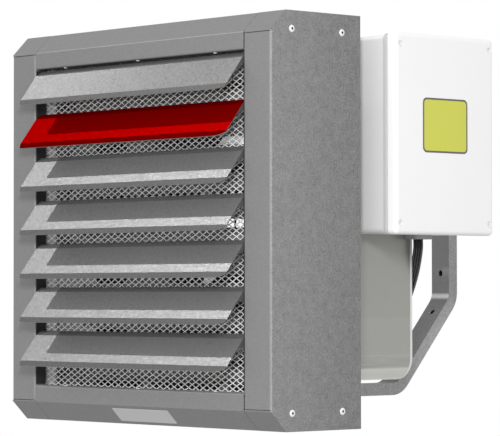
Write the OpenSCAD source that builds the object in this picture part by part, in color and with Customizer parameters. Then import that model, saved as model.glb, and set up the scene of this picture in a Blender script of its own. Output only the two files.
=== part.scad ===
// Wall-hung electric fan heater: folded-sheet casing with seven hand-set louvres in front,
// a square fan housing behind it, a control box on its side and a swivel bracket at the back.
// The origin is the centre of the bracket's wall face. X runs to the right, Y towards the wall, Z up.

/* [Casing] */
// Width of the casing
casing_w = 540; // [520:5:600]
// Height of the casing
casing_h = 536; // [526:2:580]
// Depth of the casing, front face to rear face
casing_d = 157; // [150:1:190]
// Thickness of the casing sheet
sheet_t = 1.5; // [1:0.1:2]
// Width of the front strip beside the opening
strip_w = 52; // [48:1:60]
// Size of the slanted edge at the top and bottom of the front
chamfer = 26; // [20:1:30]
// Height of the flat front lip above and below the opening
lip_h = 23; // [18:1:28]
// Depth of the folds that line the opening
return_d = 18; // [17:1:24]

/* [Louvres] */
// Slope of a louvre's face below the horizontal
louvre_angle = 52; // [46:1:58]
// Bend between a louvre's face and its edges
louvre_fold = 13; // [6:1:18]
// Width of a louvre's upper edge
louvre_flange = 9.6; // [8:0.2:10.4]
// Width of a louvre's lower edge
louvre_lip = 7.6; // [6:0.2:8.4]
// Thickness of the louvre sheet
louvre_t = 1.2; // [0.8:0.1:1.4]
// Diameter of the pins that a louvre turns on
pin_d = 6; // [4:0.5:6.5]

/* [Mesh guard] */
// Sideways step of the diamonds
diamond_w = 14.6; // [13:0.2:20]
// Upright step of the diamonds
diamond_h = 7.7; // [7:0.1:11]
// Width of one wire
wire_w = 1.1; // [0.8:0.1:1.8]
// Thickness of one wire
wire_t = 1.1; // [0.8:0.1:1.6]

/* [Heating elements] */
// Diameter of the element tube
tube_d = 8.5; // [7:0.5:10]
// Diameter of the cooling fins
fin_d = 26; // [20:1:30]
// Step from one fin to the next
fin_step = 12; // [10:1:20]
// Distance from the front face to the elements' centre line
element_y = 66; // [60:1:75]

/* [Fan] */
// Width and height of the square fan housing
duct_w = 418; // [404:2:424]
// Depth of the fan housing behind the casing
duct_d = 153; // [145:1:180]
// Wall of the fan housing
duct_t = 2; // [1.5:0.1:3]
// Corner radius of the fan housing
duct_r = 30; // [24:1:36]
// Diameter over the blade tips
fan_d = 348; // [320:2:350]
// Diameter of the motor's turning can
can_d = 96; // [88:1:104]

/* [Control box] */
// Width of the box lid, along the housing
box_w = 184; // [176:1:200]
// Height of the box lid
box_h = 263; // [255:1:280]
// Depth of the box base
base_d = 81; // [78:1:95]
// Thickness of the box lid
lid_t = 15; // [12:0.5:18]
// Wall of the box
box_wall = 3; // [2:0.5:3.5]
// Height of the box's middle above the heater's middle
box_z = 115.8; // [110:0.2:120]

/* [Bracket] */
// Distance from the swivel axis to the wall
pivot_reach = 364.5; // [355:0.5:420]
// Width of the bracket bar
bar_w = 35; // [30:1:45]
// Thickness of the bracket bar
bar_h = 17; // [15:0.5:22]
// Wall of the bracket bar
bar_wall = 2; // [1.5:0.1:3]
// Height of the bracket's upright between its bends
upright_h = 211; // [190:1:230]
// Depth taken up by the bracket's slanted part
slant_d = 115; // [90:1:125]
// Outside radius of the bracket's bends
bar_r = 40; // [34:1:50]
// Distance between the two wall bolts
bolt_gap = 126; // [100:1:140]
// Diameter of the wall bolt holes
bolt_hole = 9; // [7:0.5:11]
// Diameter of the swivel bolts
swivel_d = 12; // [10:1:14]

/* [Hidden] */

// Places measured from the front face
half_w = casing_w / 2;
half_h = casing_h / 2;
open_w = casing_w - 2 * strip_w;
open_h = casing_h - 2 * (chamfer + lip_h);
front_h = casing_h - 2 * chamfer;
duct_half = duct_w / 2;
duct_end = casing_d + duct_d;
pivot_y = casing_d + duct_d / 2;
front_y = -(pivot_y + pivot_reach);

// Sheet work
bend_r = 3;
seam = 0.8;
rivet_d = 4.8;
rivet_fit = 0.05;
rivet_y = [36, 124];
rivet_drop = 23.6;
flange_drop = 35;
flange_y = [29, 134];
rear_fold = 12;

// Louvres
louvre_count = 7;
louvre_edge = 9;
louvre_gap = 8.4;
louvre_pitch = (open_h - 2 * louvre_edge) / louvre_count;
louvre_face = louvre_pitch - louvre_lip - louvre_gap;
pin_back = 6;
pin_drop = 2;
pin_fit = 0.06;
ear_r = 5.2;
ear_t = 1.5;
bush_flange_t = 1.2;
strip_y = 1.2;
bush_wall = 1.5;
bush_len = 3.4;
blade_gap = 0.5;
blade_half = open_w / 2 - bush_flange_t - blade_gap;
round_long = 30;
round_short = 4;

// Mesh guard
mesh_border = 6;
mesh_half_w = open_w / 2 + sheet_t;
mesh_half_h = open_h / 2 + sheet_t;
clip_x = [-157, 0, 157];
clip_w = 18;
clip_down = 11;
clip_y = 5.8;
clip_rivet_d = 3.2;

// Heating elements
element_count = 6;
run_pitch = 36.4;
plate_t = 2;
plate_y = [36, 112];
plate_left_x = open_w / 2 + 4;
plate_right_x = open_w / 2 + 10;
bend_apex = 2.5;
plate_flange = 20;
plate_bend = 4;
bar_across = 12;
bar_thick = 2;
bar_over = 8;
pin_r = 2;
pin_len = 12;
collar_l = 6;
nut_af = 17;
tube_fit = 0.1;
fin_t = 1;
fin_inset = 14;

// Fan
flange_w = 14;
housing_flange_t = 2;
plate_inset = 1.5;
inlet_t = 1.5;
tip_gap = 4;
mouth_r = 12;
ring_l = 46;
inlet_lip = 15;
plate_fit = 0.2;
guard_ring_r = 1.6;
spoke_r = 2.2;
guard_rings = 6;
spokes = 8;
guard_rise = 11;
spoke_out = 19;
hub_plate_t = 3;
can_wall = 4;
can_l = 48;
shaft_d = 12;
shaft_fit = 0.06;
fan_mid = 28;
blade_count = 5;
chord_root = 74;
chord_tip = 104;
pitch_root = 38;
pitch_tip = 21;
tip_sweep = 26;
camber_root = 9;
camber_tip = 6;

// Control box
box_gap = 28;
box_y = casing_d + box_gap + box_w / 2;
rim_h = 5;
lip_t = 5;
gasket_t = 2;
lid_r = 6;
lid_edge_r = 5.5;
screw_in_y = 8.5;
screw_in_z = 15;
lid_screw_d = 3.6;
rail_z = 60;
box_fix_z = [-80, 34];
box_full = base_d + gasket_t + lid_t;
base_w = box_w - 6;
base_h = box_h - 4;

// Bracket and swivel
arm_gap = 12.6;
arm_in = duct_half + arm_gap;
arm_end = 20;
swivel_fit = 0.06;
face_fit = 0.1;
washer_t = 2.5;
slant_hole_down = 33;

// Leads from the box to the housing: hand-chosen points on the middle line, from the front face
lead_d = 4;
lead_step = 4.4;
lead_count = 4;
lead_sides = 8;
lead_drop = 20;
lead_in = duct_half + 8;
lead_back = 6;
lead_route = [[0, 0, 0], [0, 0, -12], [-3.5, 0.5, -28], [-8.5, 1, -44], [-16, 1.5, -62], [-25.5, 2, -80],
    [-34, 2.5, -98], [-41.5, 3, -113], [-46.3, 3.2, -122], [-48.5, -0.6, -126.4]];

// Turns a drawing made in Y and Z into a bar along X
module along_x(length) {
    rotate([90, 0, 90]) linear_extrude(length, center = true) children();
}

// Turns a drawing made in X and Z into a plate that starts at y and runs back by length
module along_y(y, length) {
    translate([0, y + length, 0]) rotate([90, 0, 0]) linear_extrude(length) children();
}

module in_casing() {
    translate([0, front_y, 0]) children();
}

module both_sides() {
    children();
    mirror([1, 0, 0]) children();
}

module top_and_bottom() {
    children();
    mirror([0, 0, 1]) children();
}

function unit(v) = v / norm(v);
function left_of(v) = [-v.y, v.x];
function turn_of(a, b) = atan2(a.x * b.y - a.y * b.x, a * b);

// Points of an arc of radius r that rounds the corner at b
function corner_arc(a, b, c, r, n) =
    let (
        u = unit(b - a),
        w = unit(c - b),
        turn = turn_of(u, w),
        reach = r * tan(abs(turn) / 2),
        side = sign(turn) * left_of(u),
        centre = b - reach * u + r * side)
    [for (i = [0:n])
        let (t = turn * i / n, s = -r * side)
        centre + [s.x * cos(t) - s.y * sin(t), s.x * sin(t) + s.y * cos(t)]];

function bent_path(p, r, n = 3) = concat(
    [p[0]],
    [for (i = [1:len(p) - 2]) each corner_arc(p[i - 1], p[i], p[i + 1], r, n)],
    [p[len(p) - 1]]);

function edge_normal(p, i) =
    let (
        last = len(p) - 1,
        before = unit(p[max(i, 1)] - p[max(i, 1) - 1]),
        after = unit(p[min(i, last - 1) + 1] - p[min(i, last - 1)]),
        m = unit(left_of(before) + left_of(after)))
    m / (m * left_of(before));

// Cross-section of a folded sheet: the path is its outer face, t its thickness to the left
module sheet_shape(p, t) {
    last = len(p) - 1;
    polygon(concat(p, [for (i = [last:-1:0]) p[i] + t * edge_normal(p, i)]));
}

module rounded_square(w, h, r) {
    square([w - 2 * r, h], center = true);
    square([w, h - 2 * r], center = true);
    for (x = [-1, 1], y = [-1, 1])
        translate([x * (w / 2 - r), y * (h / 2 - r)]) circle(r, $fn = 48);
}

module tube_along_y(y, length, r, bore = 0) {
    translate([0, y + length, 0]) rotate([90, 0, 0]) difference() {
        cylinder(h = length, r = r, $fn = 64);
        if (bore > 0) translate([0, 0, -1]) cylinder(h = length + 2, r = bore, $fn = 64);
    }
}

// A revolved shape whose profile is drawn as radius and distance from the front face
module revolve_y(angle = 360) {
    rotate([-90, 0, 0]) rotate_extrude(angle = angle, $fn = 96) children();
}

// Casing
module casing_block() {
    along_x(casing_w) polygon([[0, -front_h / 2], [0, front_h / 2], [chamfer, half_h], [casing_d, half_h],
        [casing_d, -half_h], [chamfer, -half_h]]);
}

function louvre_z(i) = open_h / 2 - louvre_edge - (i - 1) * louvre_pitch;

module panel_rivet_places() {
    for (y = rivet_y) top_and_bottom() translate([half_w, y, half_h - rivet_drop]) children();
}

module side_panel() {
    difference() {
        union() {
            difference() {
                intersection() {
                    linear_extrude(casing_h, center = true)
                        sheet_shape(bent_path([[open_w / 2, return_d], [open_w / 2, 0], [half_w, 0],
                            [half_w, casing_d]], bend_r), sheet_t);
                    casing_block();
                }
                // The fold beside the opening ends at the opening's height
                top_and_bottom() translate([open_w / 2 - 1, bend_r, open_h / 2])
                    cube([3 * sheet_t, return_d, lip_h + chamfer]);
            }
            top_and_bottom() translate([(open_w / 2 + half_w) / 2, 0, 0]) along_x(strip_w)
                sheet_shape([[0, front_h / 2], [chamfer, half_h]], -sheet_t);
        }
        // Open seam between the strip and the slanted flap
        top_and_bottom() translate([open_w / 2 - 1, -1, front_h / 2 - 3 * seam])
            cube([strip_w - sheet_t + 1, 2 * sheet_t, seam]);
        panel_rivet_places() rotate([0, 90, 0])
            cylinder(h = 10, d = rivet_d + 2 * rivet_fit, center = true, $fn = 32);
        for (i = [1:louvre_count]) translate([open_w / 2, pin_back, louvre_z(i) - pin_drop]) rotate([0, 90, 0])
            cylinder(h = 10, d = pin_d + 2 * bush_wall + 2 * rivet_fit, center = true, $fn = 32);
    }
}

module side_panel_left() color("gray") in_casing() mirror([1, 0, 0]) side_panel();
module side_panel_right() color("gray") in_casing() side_panel();

// Top sheet: fold under the lip, lip, slanted edge and top face, with a flange down each side
module cover_panel() {
    difference() {
        union() {
            along_x(open_w - 2 * seam) sheet_shape(bent_path([[return_d, open_h / 2], [0, open_h / 2],
                [0, front_h / 2], [chamfer, half_h], [casing_d, half_h]], bend_r), -sheet_t);
            both_sides() {
                translate([open_w / 2 - 1, chamfer + 2, half_h - sheet_t])
                    cube([strip_w + 1 - sheet_t, casing_d - chamfer - 2, sheet_t]);
                translate([half_w - 2 * sheet_t, flange_y[0], half_h - flange_drop])
                    cube([sheet_t, flange_y[1] - flange_y[0], flange_drop]);
            }
        }
        both_sides() for (y = rivet_y) translate([half_w, y, half_h - rivet_drop]) rotate([0, 90, 0])
            cylinder(h = 20, d = rivet_d + 2 * rivet_fit, center = true, $fn = 32);
        for (x = clip_x) translate([x, clip_y, open_h / 2])
            cylinder(h = 10, d = clip_rivet_d + 2 * rivet_fit, center = true, $fn = 32);
    }
}

module top_panel() color("gray") in_casing() cover_panel();
module bottom_panel() color("gray") in_casing() mirror([0, 0, 1]) cover_panel();

module housing_screw_places() {
    for (a = [0:90:270]) rotate([0, a, 0]) for (s = [-1, 1])
        translate([s * duct_half * 0.55, 0, duct_half + flange_w / 2]) children();
}

// Rear wall of the casing, folded forward all round, open to the fan housing
module rear_frame() color("gray") in_casing() {
    difference() {
        union() {
            along_y(casing_d - sheet_t, sheet_t) square([casing_w - 2 * sheet_t, casing_h - 2 * sheet_t],
                center = true);
            along_y(casing_d - rear_fold, rear_fold) difference() {
                square([casing_w - 2 * sheet_t, casing_h - 2 * sheet_t], center = true);
                square([casing_w - 4 * sheet_t, casing_h - 4 * sheet_t], center = true);
            }
        }
        along_y(casing_d - 10, 20) rounded_square(duct_w - 2 * duct_t, duct_w - 2 * duct_t, duct_r - duct_t);
        housing_screw_places() tube_along_y(casing_d - 10, 20, 2.7);
    }
}

module blind_rivet(d, head_h, grip) {
    // Domed head with the hole that its pin leaves, shank through the sheets and the bulb behind them
    rotate_extrude($fn = 32) polygon([[d * 0.34, -0.8], [d * 0.34, head_h * 0.85], [d * 0.42, head_h],
        [d * 0.62, head_h * 0.9], [d * 0.85, head_h * 0.5], [d * 0.98, 0], [d / 2, 0], [d / 2, -grip],
        [d * 0.7, -grip], [d * 0.7, -grip - d * 0.5], [d * 0.3, -grip - d * 0.9], [0, -grip - d * 0.9], [0, -0.8]]);
}

module panel_rivets() color("white") in_casing() both_sides() panel_rivet_places() rotate([0, 90, 0])
    blind_rivet(rivet_d, 1.3, 2 * sheet_t);

// Mesh guard: two layers of slanted wires, each welded to its own half of the border
module mesh_layer(slope) {
    lean = atan(diamond_h / diamond_w);
    rows = ceil((mesh_half_h + mesh_half_w * tan(lean)) / diamond_h);
    difference() {
        square([2 * mesh_half_w, 2 * mesh_half_h], center = true);
        square([2 * (mesh_half_w - mesh_border), 2 * (mesh_half_h - mesh_border)], center = true);
    }
    intersection() {
        square([2 * mesh_half_w - mesh_border, 2 * mesh_half_h - mesh_border], center = true);
        rotate(slope * lean) for (k = [-rows:rows]) translate([0, k * diamond_h * cos(lean)])
            square([3 * mesh_half_w, wire_w], center = true);
    }
}

module mesh_front_wires() color("silver") in_casing() along_y(return_d, wire_t) mesh_layer(1);
module mesh_rear_wires() color("silver") in_casing() along_y(return_d + wire_t, wire_t) mesh_layer(-1);

// Angle clips that hold the mesh against the folds of the opening
module mesh_clips() color("silver") in_casing() top_and_bottom() for (x = clip_x) difference() {
    translate([x, 0, 0]) along_x(clip_w) sheet_shape([[bend_r + 0.4, mesh_half_h],
        [return_d + 2 * wire_t, mesh_half_h], [return_d + 2 * wire_t, mesh_half_h - clip_down]], sheet_t);
    translate([x, clip_y, mesh_half_h])
        cylinder(h = 10, d = clip_rivet_d + 2 * rivet_fit, center = true, $fn = 32);
}

module clip_rivets() color("silver") in_casing() top_and_bottom() for (x = clip_x)
    translate([x, clip_y, open_h / 2]) rotate([180, 0, 0]) blind_rivet(clip_rivet_d, 1.1, 2 * sheet_t);

// Louvres
face_dir = [-cos(louvre_angle), -sin(louvre_angle)];
lip_dir = [-cos(louvre_angle + louvre_fold), -sin(louvre_angle + louvre_fold)];
flange_dir = [cos(louvre_angle - louvre_fold), sin(louvre_angle - louvre_fold)];
fold_low = face_dir * louvre_face;

// Outside of an elliptical corner, drawn from the end of the sheet (x) and from its fold (y)
module corner_waste(long, high) {
    steps = 12;
    polygon(concat([[-1, 0]], [for (i = [0:steps]) [long * (1 - cos(90 * i / steps)), high * sin(90 * i / steps)]],
        [[long, high + 2], [-1, high + 2]]));
}

// Lays a drawing on a sloping edge of the louvre: x inwards from the blade's end, y along the slope
module on_slope(start, dir, end_side) {
    across = [0, dir.x, dir.y];
    normal = [0, -dir.y, dir.x];
    multmatrix([[-end_side, 0, 0, end_side * blade_half], [0, across.y, normal.y, start.x],
        [0, across.z, normal.z, start.y], [0, 0, 0, 1]])
        linear_extrude(6, center = true) children();
}

module louvre() {
    path = bent_path([flange_dir * louvre_flange, [0, 0], fold_low, fold_low + lip_dir * louvre_lip], 2, 2);
    difference() {
        along_x(2 * blade_half) sheet_shape(path, louvre_t);
        on_slope(fold_low, lip_dir, 1) corner_waste(round_long, louvre_lip);
        on_slope(fold_low, lip_dir, -1) corner_waste(round_short, louvre_lip);
        on_slope([0, 0], flange_dir, 1) corner_waste(round_short, louvre_flange);
        on_slope([0, 0], flange_dir, -1) corner_waste(round_short, louvre_flange);
    }
    // An ear folded back at each end carries the pin
    both_sides() {
        translate([blade_half - ear_t / 2, 0, 0]) along_x(ear_t) {
            translate([pin_back, -pin_drop]) circle(ear_r, $fn = 48);
            polygon([[pin_back + ear_r * 0.6, -pin_drop - ear_r * 0.8], [pin_back - ear_r * 0.6, -pin_drop + ear_r * 0.8],
                [0.4, -0.6], face_dir * louvre_face * 0.4 + [0.5, 0]]);
        }
        translate([blade_half - 0.5, pin_back, -pin_drop]) rotate([0, 90, 0])
            cylinder(h = bush_len + bush_flange_t + blade_gap + 0.5, d = pin_d, $fn = 48);
    }
}

module louvre_at(i) in_casing() translate([0, 0, louvre_z(i)]) louvre();
module louvre_1() color("lightgray") louvre_at(1);
module louvre_2() color("firebrick") louvre_at(2);
module louvre_3() color("lightgray") louvre_at(3);
module louvre_4() color("lightgray") louvre_at(4);
module louvre_5() color("lightgray") louvre_at(5);
module louvre_6() color("lightgray") louvre_at(6);
module louvre_7() color("lightgray") louvre_at(7);

// Strips in the folds beside the opening, each with a bush for every louvre pin
module bearing_strips() color("dimgray") in_casing() both_sides() difference() {
    union() {
        translate([open_w / 2 - bush_flange_t, strip_y, -open_h / 2 + 1.5])
            cube([bush_flange_t, return_d - strip_y - 0.2, open_h - 3]);
        for (i = [1:louvre_count]) translate([open_w / 2 - bush_flange_t, pin_back, louvre_z(i) - pin_drop])
            rotate([0, 90, 0]) cylinder(h = bush_flange_t + bush_len, r = pin_d / 2 + bush_wall, $fn = 32);
    }
    for (i = [1:louvre_count]) translate([open_w / 2 - 5, pin_back, louvre_z(i) - pin_drop]) rotate([0, 90, 0])
        cylinder(h = 15, r = pin_d / 2 + pin_fit, $fn = 48);
}

// Heating elements
function run_z(k) = (k - element_count + 0.5) * run_pitch;
finned_from = -open_w / 2 + fin_inset + run_pitch / 2;
finned_to = plate_right_x - collar_l - fin_inset;
bend_x = -(plate_left_x + plate_t + bend_apex - run_pitch / 2 - tube_d / 2);

module element_run() {
    fins = floor((finned_to - finned_from) / fin_step);
    rotate([0, 90, 0]) rotate_extrude($fn = 32) polygon(concat(
        [[0, bend_x], [tube_d / 2, bend_x]],
        [for (k = [0:fins]) each [[tube_d / 2, finned_from + k * fin_step], [fin_d / 2, finned_from + k * fin_step],
            [fin_d / 2, finned_from + k * fin_step + fin_t], [tube_d / 2, finned_from + k * fin_step + fin_t]]],
        [[tube_d / 2, plate_right_x - collar_l], [nut_af / 2, plate_right_x - collar_l], [nut_af / 2, plate_right_x],
            [tube_d / 2, plate_right_x], [tube_d / 2, plate_right_x + pin_len], [pin_r, plate_right_x + pin_len],
            [pin_r, plate_right_x + 2 * pin_len], [0, plate_right_x + 2 * pin_len]]));
}

// Six hairpin tubes with fins on their straight runs
module heating_elements() color("silver") in_casing() for (k = [0:2:2 * element_count - 2])
    translate([0, element_y, 0]) union() {
        translate([0, 0, run_z(k)]) element_run();
        translate([0, 0, run_z(k + 1)]) element_run();
        translate([bend_x, 0, (run_z(k) + run_z(k + 1)) / 2]) rotate([90, 0, 0])
            rotate([0, 0, 90]) rotate_extrude(angle = 180, $fn = 48) translate([run_pitch / 2, 0])
            circle(d = tube_d, $fn = 32);
    }

module element_plate_shape(x) {
    in_z = half_h - sheet_t;
    translate([0, plate_y[1], 0]) rotate([90, 0, 0]) linear_extrude(plate_y[1] - plate_y[0])
        sheet_shape(bent_path([[x - plate_flange, -in_z], [x + plate_t, -in_z], [x + plate_t, in_z],
            [x - plate_flange, in_z]], plate_bend), plate_t);
}

module element_plate_right() color("silver") in_casing() difference() {
    element_plate_shape(plate_right_x);
    for (k = [0:2 * element_count - 1]) translate([plate_right_x, element_y, run_z(k)]) rotate([0, 90, 0])
        cylinder(h = 10, r = tube_d / 2 + tube_fit, center = true, $fn = 32);
}

module element_plate_left() color("silver") in_casing() mirror([1, 0, 0]) difference() {
    element_plate_shape(plate_left_x);
    for (k = [0:2:2 * element_count - 2])
        translate([plate_left_x - 4, element_y, (run_z(k) + run_z(k + 1)) / 2]) rotate([0, 90, 0])
            linear_extrude(10) rounded_square(run_pitch, tube_d + 4 * tube_fit, tube_d / 2);
}

module element_nuts() color("goldenrod") in_casing() for (k = [0:2 * element_count - 1])
    translate([plate_right_x + plate_t, element_y, run_z(k)]) rotate([0, 90, 0]) difference() {
        cylinder(h = 6, d = nut_af / cos(30), $fn = 6);
        translate([0, 0, -1]) cylinder(h = 8, r = tube_d / 2 + tube_fit, $fn = 32);
    }

// Bar that joins one end of every element
module star_bar() color("peru") in_casing() difference() {
    translate([plate_right_x + pin_len, element_y - bar_across / 2, run_z(0) - bar_over])
        cube([bar_thick, bar_across, run_z(2 * element_count - 2) - run_z(0) + 2 * bar_over]);
    // The bar grips every second pin and clears the others
    for (k = [0:2 * element_count - 1]) translate([plate_right_x + pin_len, element_y, run_z(k)]) rotate([0, 90, 0])
        cylinder(h = 10, r = k % 2 == 0 ? pin_r + tube_fit : bar_across / 3, center = true, $fn = 24);
}

module overheat_thermostat() color("black") in_casing() translate([plate_right_x, element_y + 30, 0])
    rotate([0, -90, 0]) {
        cylinder(h = 2, r = 11, $fn = 48);
        cylinder(h = 11, r = 8, $fn = 48);
        for (s = [-1, 1]) translate([s * 4 - 0.4, -3, 10]) cube([0.8, 6, 8]);
    }

// Fan housing
module fan_housing() color([0.62, 0.62, 0.6]) in_casing() difference() {
    union() {
        along_y(casing_d, duct_d) rounded_square(duct_w, duct_w, duct_r);
        along_y(casing_d, housing_flange_t)
            rounded_square(duct_w + 2 * flange_w, duct_w + 2 * flange_w, duct_r + flange_w);
    }
    along_y(casing_d - 1, duct_d + 2) rounded_square(duct_w - 2 * duct_t, duct_w - 2 * duct_t, duct_r - duct_t);
    housing_screw_places() tube_along_y(casing_d - 10, 20, 2.7);
    translate([0, pivot_y, 0]) cylinder(h = duct_w + 10, r = swivel_d / 2 + 0.3, center = true, $fn = 48);
    box_fixing_places() rotate([0, 90, 0]) cylinder(h = 10, r = 2.2, center = true, $fn = 32);
}

module housing_screws() color("silver") in_casing() housing_screw_places() {
    tube_along_y(casing_d + housing_flange_t, 3, 4.5);
    tube_along_y(casing_d - sheet_t - 6, 6 + sheet_t + housing_flange_t + 1, 2.5);
    translate([0, casing_d - sheet_t, 0]) rotate([90, 0, 0]) cylinder(h = 4, d = 8 / cos(30), $fn = 6);
}

inlet_y = duct_end - plate_inset;
throat_r = fan_d / 2 + tip_gap;

// Plate across the rear of the housing, with the rounded mouth and ring round the fan
module inlet_plate() color("silver") in_casing() {
    inner = duct_w - 2 * duct_t - 2 * plate_fit;
    difference() {
        union() {
            along_y(inlet_y - inlet_t, inlet_t) rounded_square(inner, inner, duct_r - duct_t - plate_fit);
            along_y(inlet_y - inlet_lip, inlet_lip) difference() {
                rounded_square(inner, inner, duct_r - duct_t - plate_fit);
                rounded_square(inner - 2 * inlet_t, inner - 2 * inlet_t, duct_r - duct_t - inlet_t - plate_fit);
            }
        }
        tube_along_y(inlet_y - 5, 10, throat_r + mouth_r + 2);
        guard_foot_places() tube_along_y(inlet_y - 5, 10, 1.7);
    }
    revolve_y() sheet_shape(bent_path([[throat_r, inlet_y - ring_l], [throat_r, inlet_y],
        [throat_r + mouth_r + 5, inlet_y]], mouth_r, 6), -inlet_t);
}

guard_y = inlet_y + guard_rise;
spoke_y = guard_y + guard_ring_r + spoke_r - 1.3;
spoke_end = throat_r + spoke_out;
hub_y = spoke_y + spoke_r - hub_plate_t;

module guard_foot_places() {
    for (a = [0:spokes - 1]) rotate([0, (a + 0.5) * 360 / spokes, 0]) translate([spoke_end, 0, 0]) children();
}

core_r = can_d / 2 - can_wall - 4;
hub_plate_r = core_r + 6;

// Welded wire guard that also carries the motor
module fan_guard() color("dimgray") in_casing() {
    for (k = [0:guard_rings - 1]) revolve_y() translate([62 + k * (throat_r + 6 - 62) / (guard_rings - 1), guard_y])
        circle(guard_ring_r, $fn = 24);
    for (a = [0:spokes - 1]) rotate([0, (a + 0.5) * 360 / spokes, 0]) {
        translate([hub_plate_r - 3, spoke_y, 0]) rotate([0, 90, 0])
            cylinder(h = spoke_end - hub_plate_r + 3, r = spoke_r, $fn = 24);
        translate([spoke_end, 0, 0]) {
            tube_along_y(inlet_y + 1, spoke_y - inlet_y - 1, spoke_r);
            translate([0, spoke_y, 0]) sphere(spoke_r, $fn = 24);
            tube_along_y(inlet_y, 1.5, 5);
        }
    }
    difference() {
        tube_along_y(hub_y, hub_plate_t, hub_plate_r);
        motor_screw_places() tube_along_y(hub_y - 5, 15, 2.6);
    }
}

// Screws from the front through the inlet plate into the feet's rear
module guard_screws() color("silver") in_casing() guard_foot_places() {
    tube_along_y(inlet_y - inlet_t - 2.4, 2.4, 3.2);
    tube_along_y(inlet_y - inlet_t - 1, inlet_t + 1, 1.6);
}

module motor_screw_places() {
    for (a = [45:90:315]) rotate([0, a, 0]) translate([30, 0, 0]) children();
}

can_y = inlet_y - 4.5 - can_l;

// Fixed half of the motor: flange on the guard, core inside the can and the shaft
module fan_motor() color("dimgray") in_casing() difference() {
    union() {
        tube_along_y(inlet_y, hub_y - inlet_y, core_r + 2);
        tube_along_y(can_y + can_wall + 4, inlet_y - can_y - can_wall - 4, core_r);
        tube_along_y(can_y - 8, 20, shaft_d / 2);
    }
    motor_screw_places() tube_along_y(hub_y - 7, 10, 2.55);
}

module motor_screws() color("silver") in_casing() motor_screw_places() {
    tube_along_y(hub_y + hub_plate_t, 4, 4.2);
    tube_along_y(hub_y - 6, 7 + hub_plate_t, 2.5);
}

// Turning can of the outside-rotor motor, running on the shaft
module rotor_can() color("gray") in_casing() difference() {
    union() {
        tube_along_y(can_y, can_l, can_d / 2);
        tube_along_y(can_y - 4, 6, shaft_d / 2 + 6);
    }
    tube_along_y(can_y + can_wall, can_l, can_d / 2 - can_wall);
    tube_along_y(can_y - 10, 20, shaft_d / 2 + shaft_fit);
}

module shaft_circlip() color("black") in_casing()
    tube_along_y(can_y - 4 - 0.3 - 1.2, 1.2, shaft_d / 2 + 3, shaft_d / 2 + 0.02);

// Fan blade: sections set out round the axis from the hub to the tip
hub_r = can_d / 2 + 0.15;
band_t = 4;
stations = 7;
chord_steps = 6;
function mix(a, b, t) = a + (b - a) * t;
function blade_point(s, c, side) =
    let (
        r = mix(hub_r + band_t / 2, fan_d / 2, s),
        chord = mix(chord_root, chord_tip, s),
        pitch = mix(pitch_root, pitch_tip, s),
        sweep = tip_sweep * s * s,
        along = chord * (c - 0.5),
        camber = mix(camber_root, camber_tip, s) * (1 - pow(2 * c - 1, 2)),
        thick = side * (0.5 + mix(1.6, 0.9, s) * sin(180 * c)),
        around = along * cos(pitch) - (camber + thick) * sin(pitch) + sweep,
        axial = along * sin(pitch) + (camber + thick) * cos(pitch),
        turn = around / r * 180 / PI)
    [r * cos(turn), axial, r * sin(turn)];

function ring_points(s) = concat(
    [for (i = [0:chord_steps]) blade_point(s, i / chord_steps, 1)],
    [for (i = [chord_steps:-1:0]) blade_point(s, i / chord_steps, -1)]);

// Closes a stack of rings of n points into one skin
module loft(rings) {
    n = len(rings[0]);
    m = len(rings);
    polyhedron(
        points = [for (ring = rings) each ring],
        faces = concat(
            [[for (i = [0:n - 1]) i]],
            [for (j = [0:m - 2], i = [0:n - 1]) each [
                [j * n + i, (j + 1) * n + i, j * n + (i + 1) % n],
                [j * n + (i + 1) % n, (j + 1) * n + i, (j + 1) * n + (i + 1) % n]]],
            [[for (i = [n - 1:-1:0]) (m - 1) * n + i]]));
}

module impeller() color([0.15, 0.15, 0.16]) in_casing() difference() {
    union() {
        tube_along_y(can_y + 2, can_l - 6, hub_r + band_t);
        translate([0, inlet_y - fan_mid, 0]) for (b = [0:blade_count - 1]) rotate([0, b * 360 / blade_count, 0])
            loft([for (k = [0:stations - 1]) ring_points(k / (stations - 1))]);
    }
    tube_along_y(can_y - 40, 2 * can_l + 60, hub_r);
}

// Control box, drawn as Y, Z and distance out from the housing
module on_box() {
    translate([duct_half, box_y, box_z]) rotate([90, 0, 90]) children();
}

screw_y = box_w / 2 - screw_in_y;
screw_z = box_h / 2 - screw_in_z;
module lid_screw_places() {
    for (y = [-1, 1], z = [-1, 1]) translate([y * screw_y, z * screw_z, 0]) children();
}

module box_fixing_places() {
    for (y = [casing_d + box_gap + 25, duct_end - 22], z = box_fix_z)
        translate([duct_half, y, box_z + z]) children();
}

module control_box_back() color("white") in_casing() difference() {
    on_box() linear_extrude(box_wall) rounded_square(base_w, base_h, 7);
    box_fixing_places() rotate([0, 90, 0]) cylinder(h = 20, r = 2.2, center = true, $fn = 32);
    on_box() for (s = [-1, 1]) translate([s * rail_l * 0.4, rail_z, -5]) cylinder(h = 20, r = 2.2, $fn = 32);
}

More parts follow.
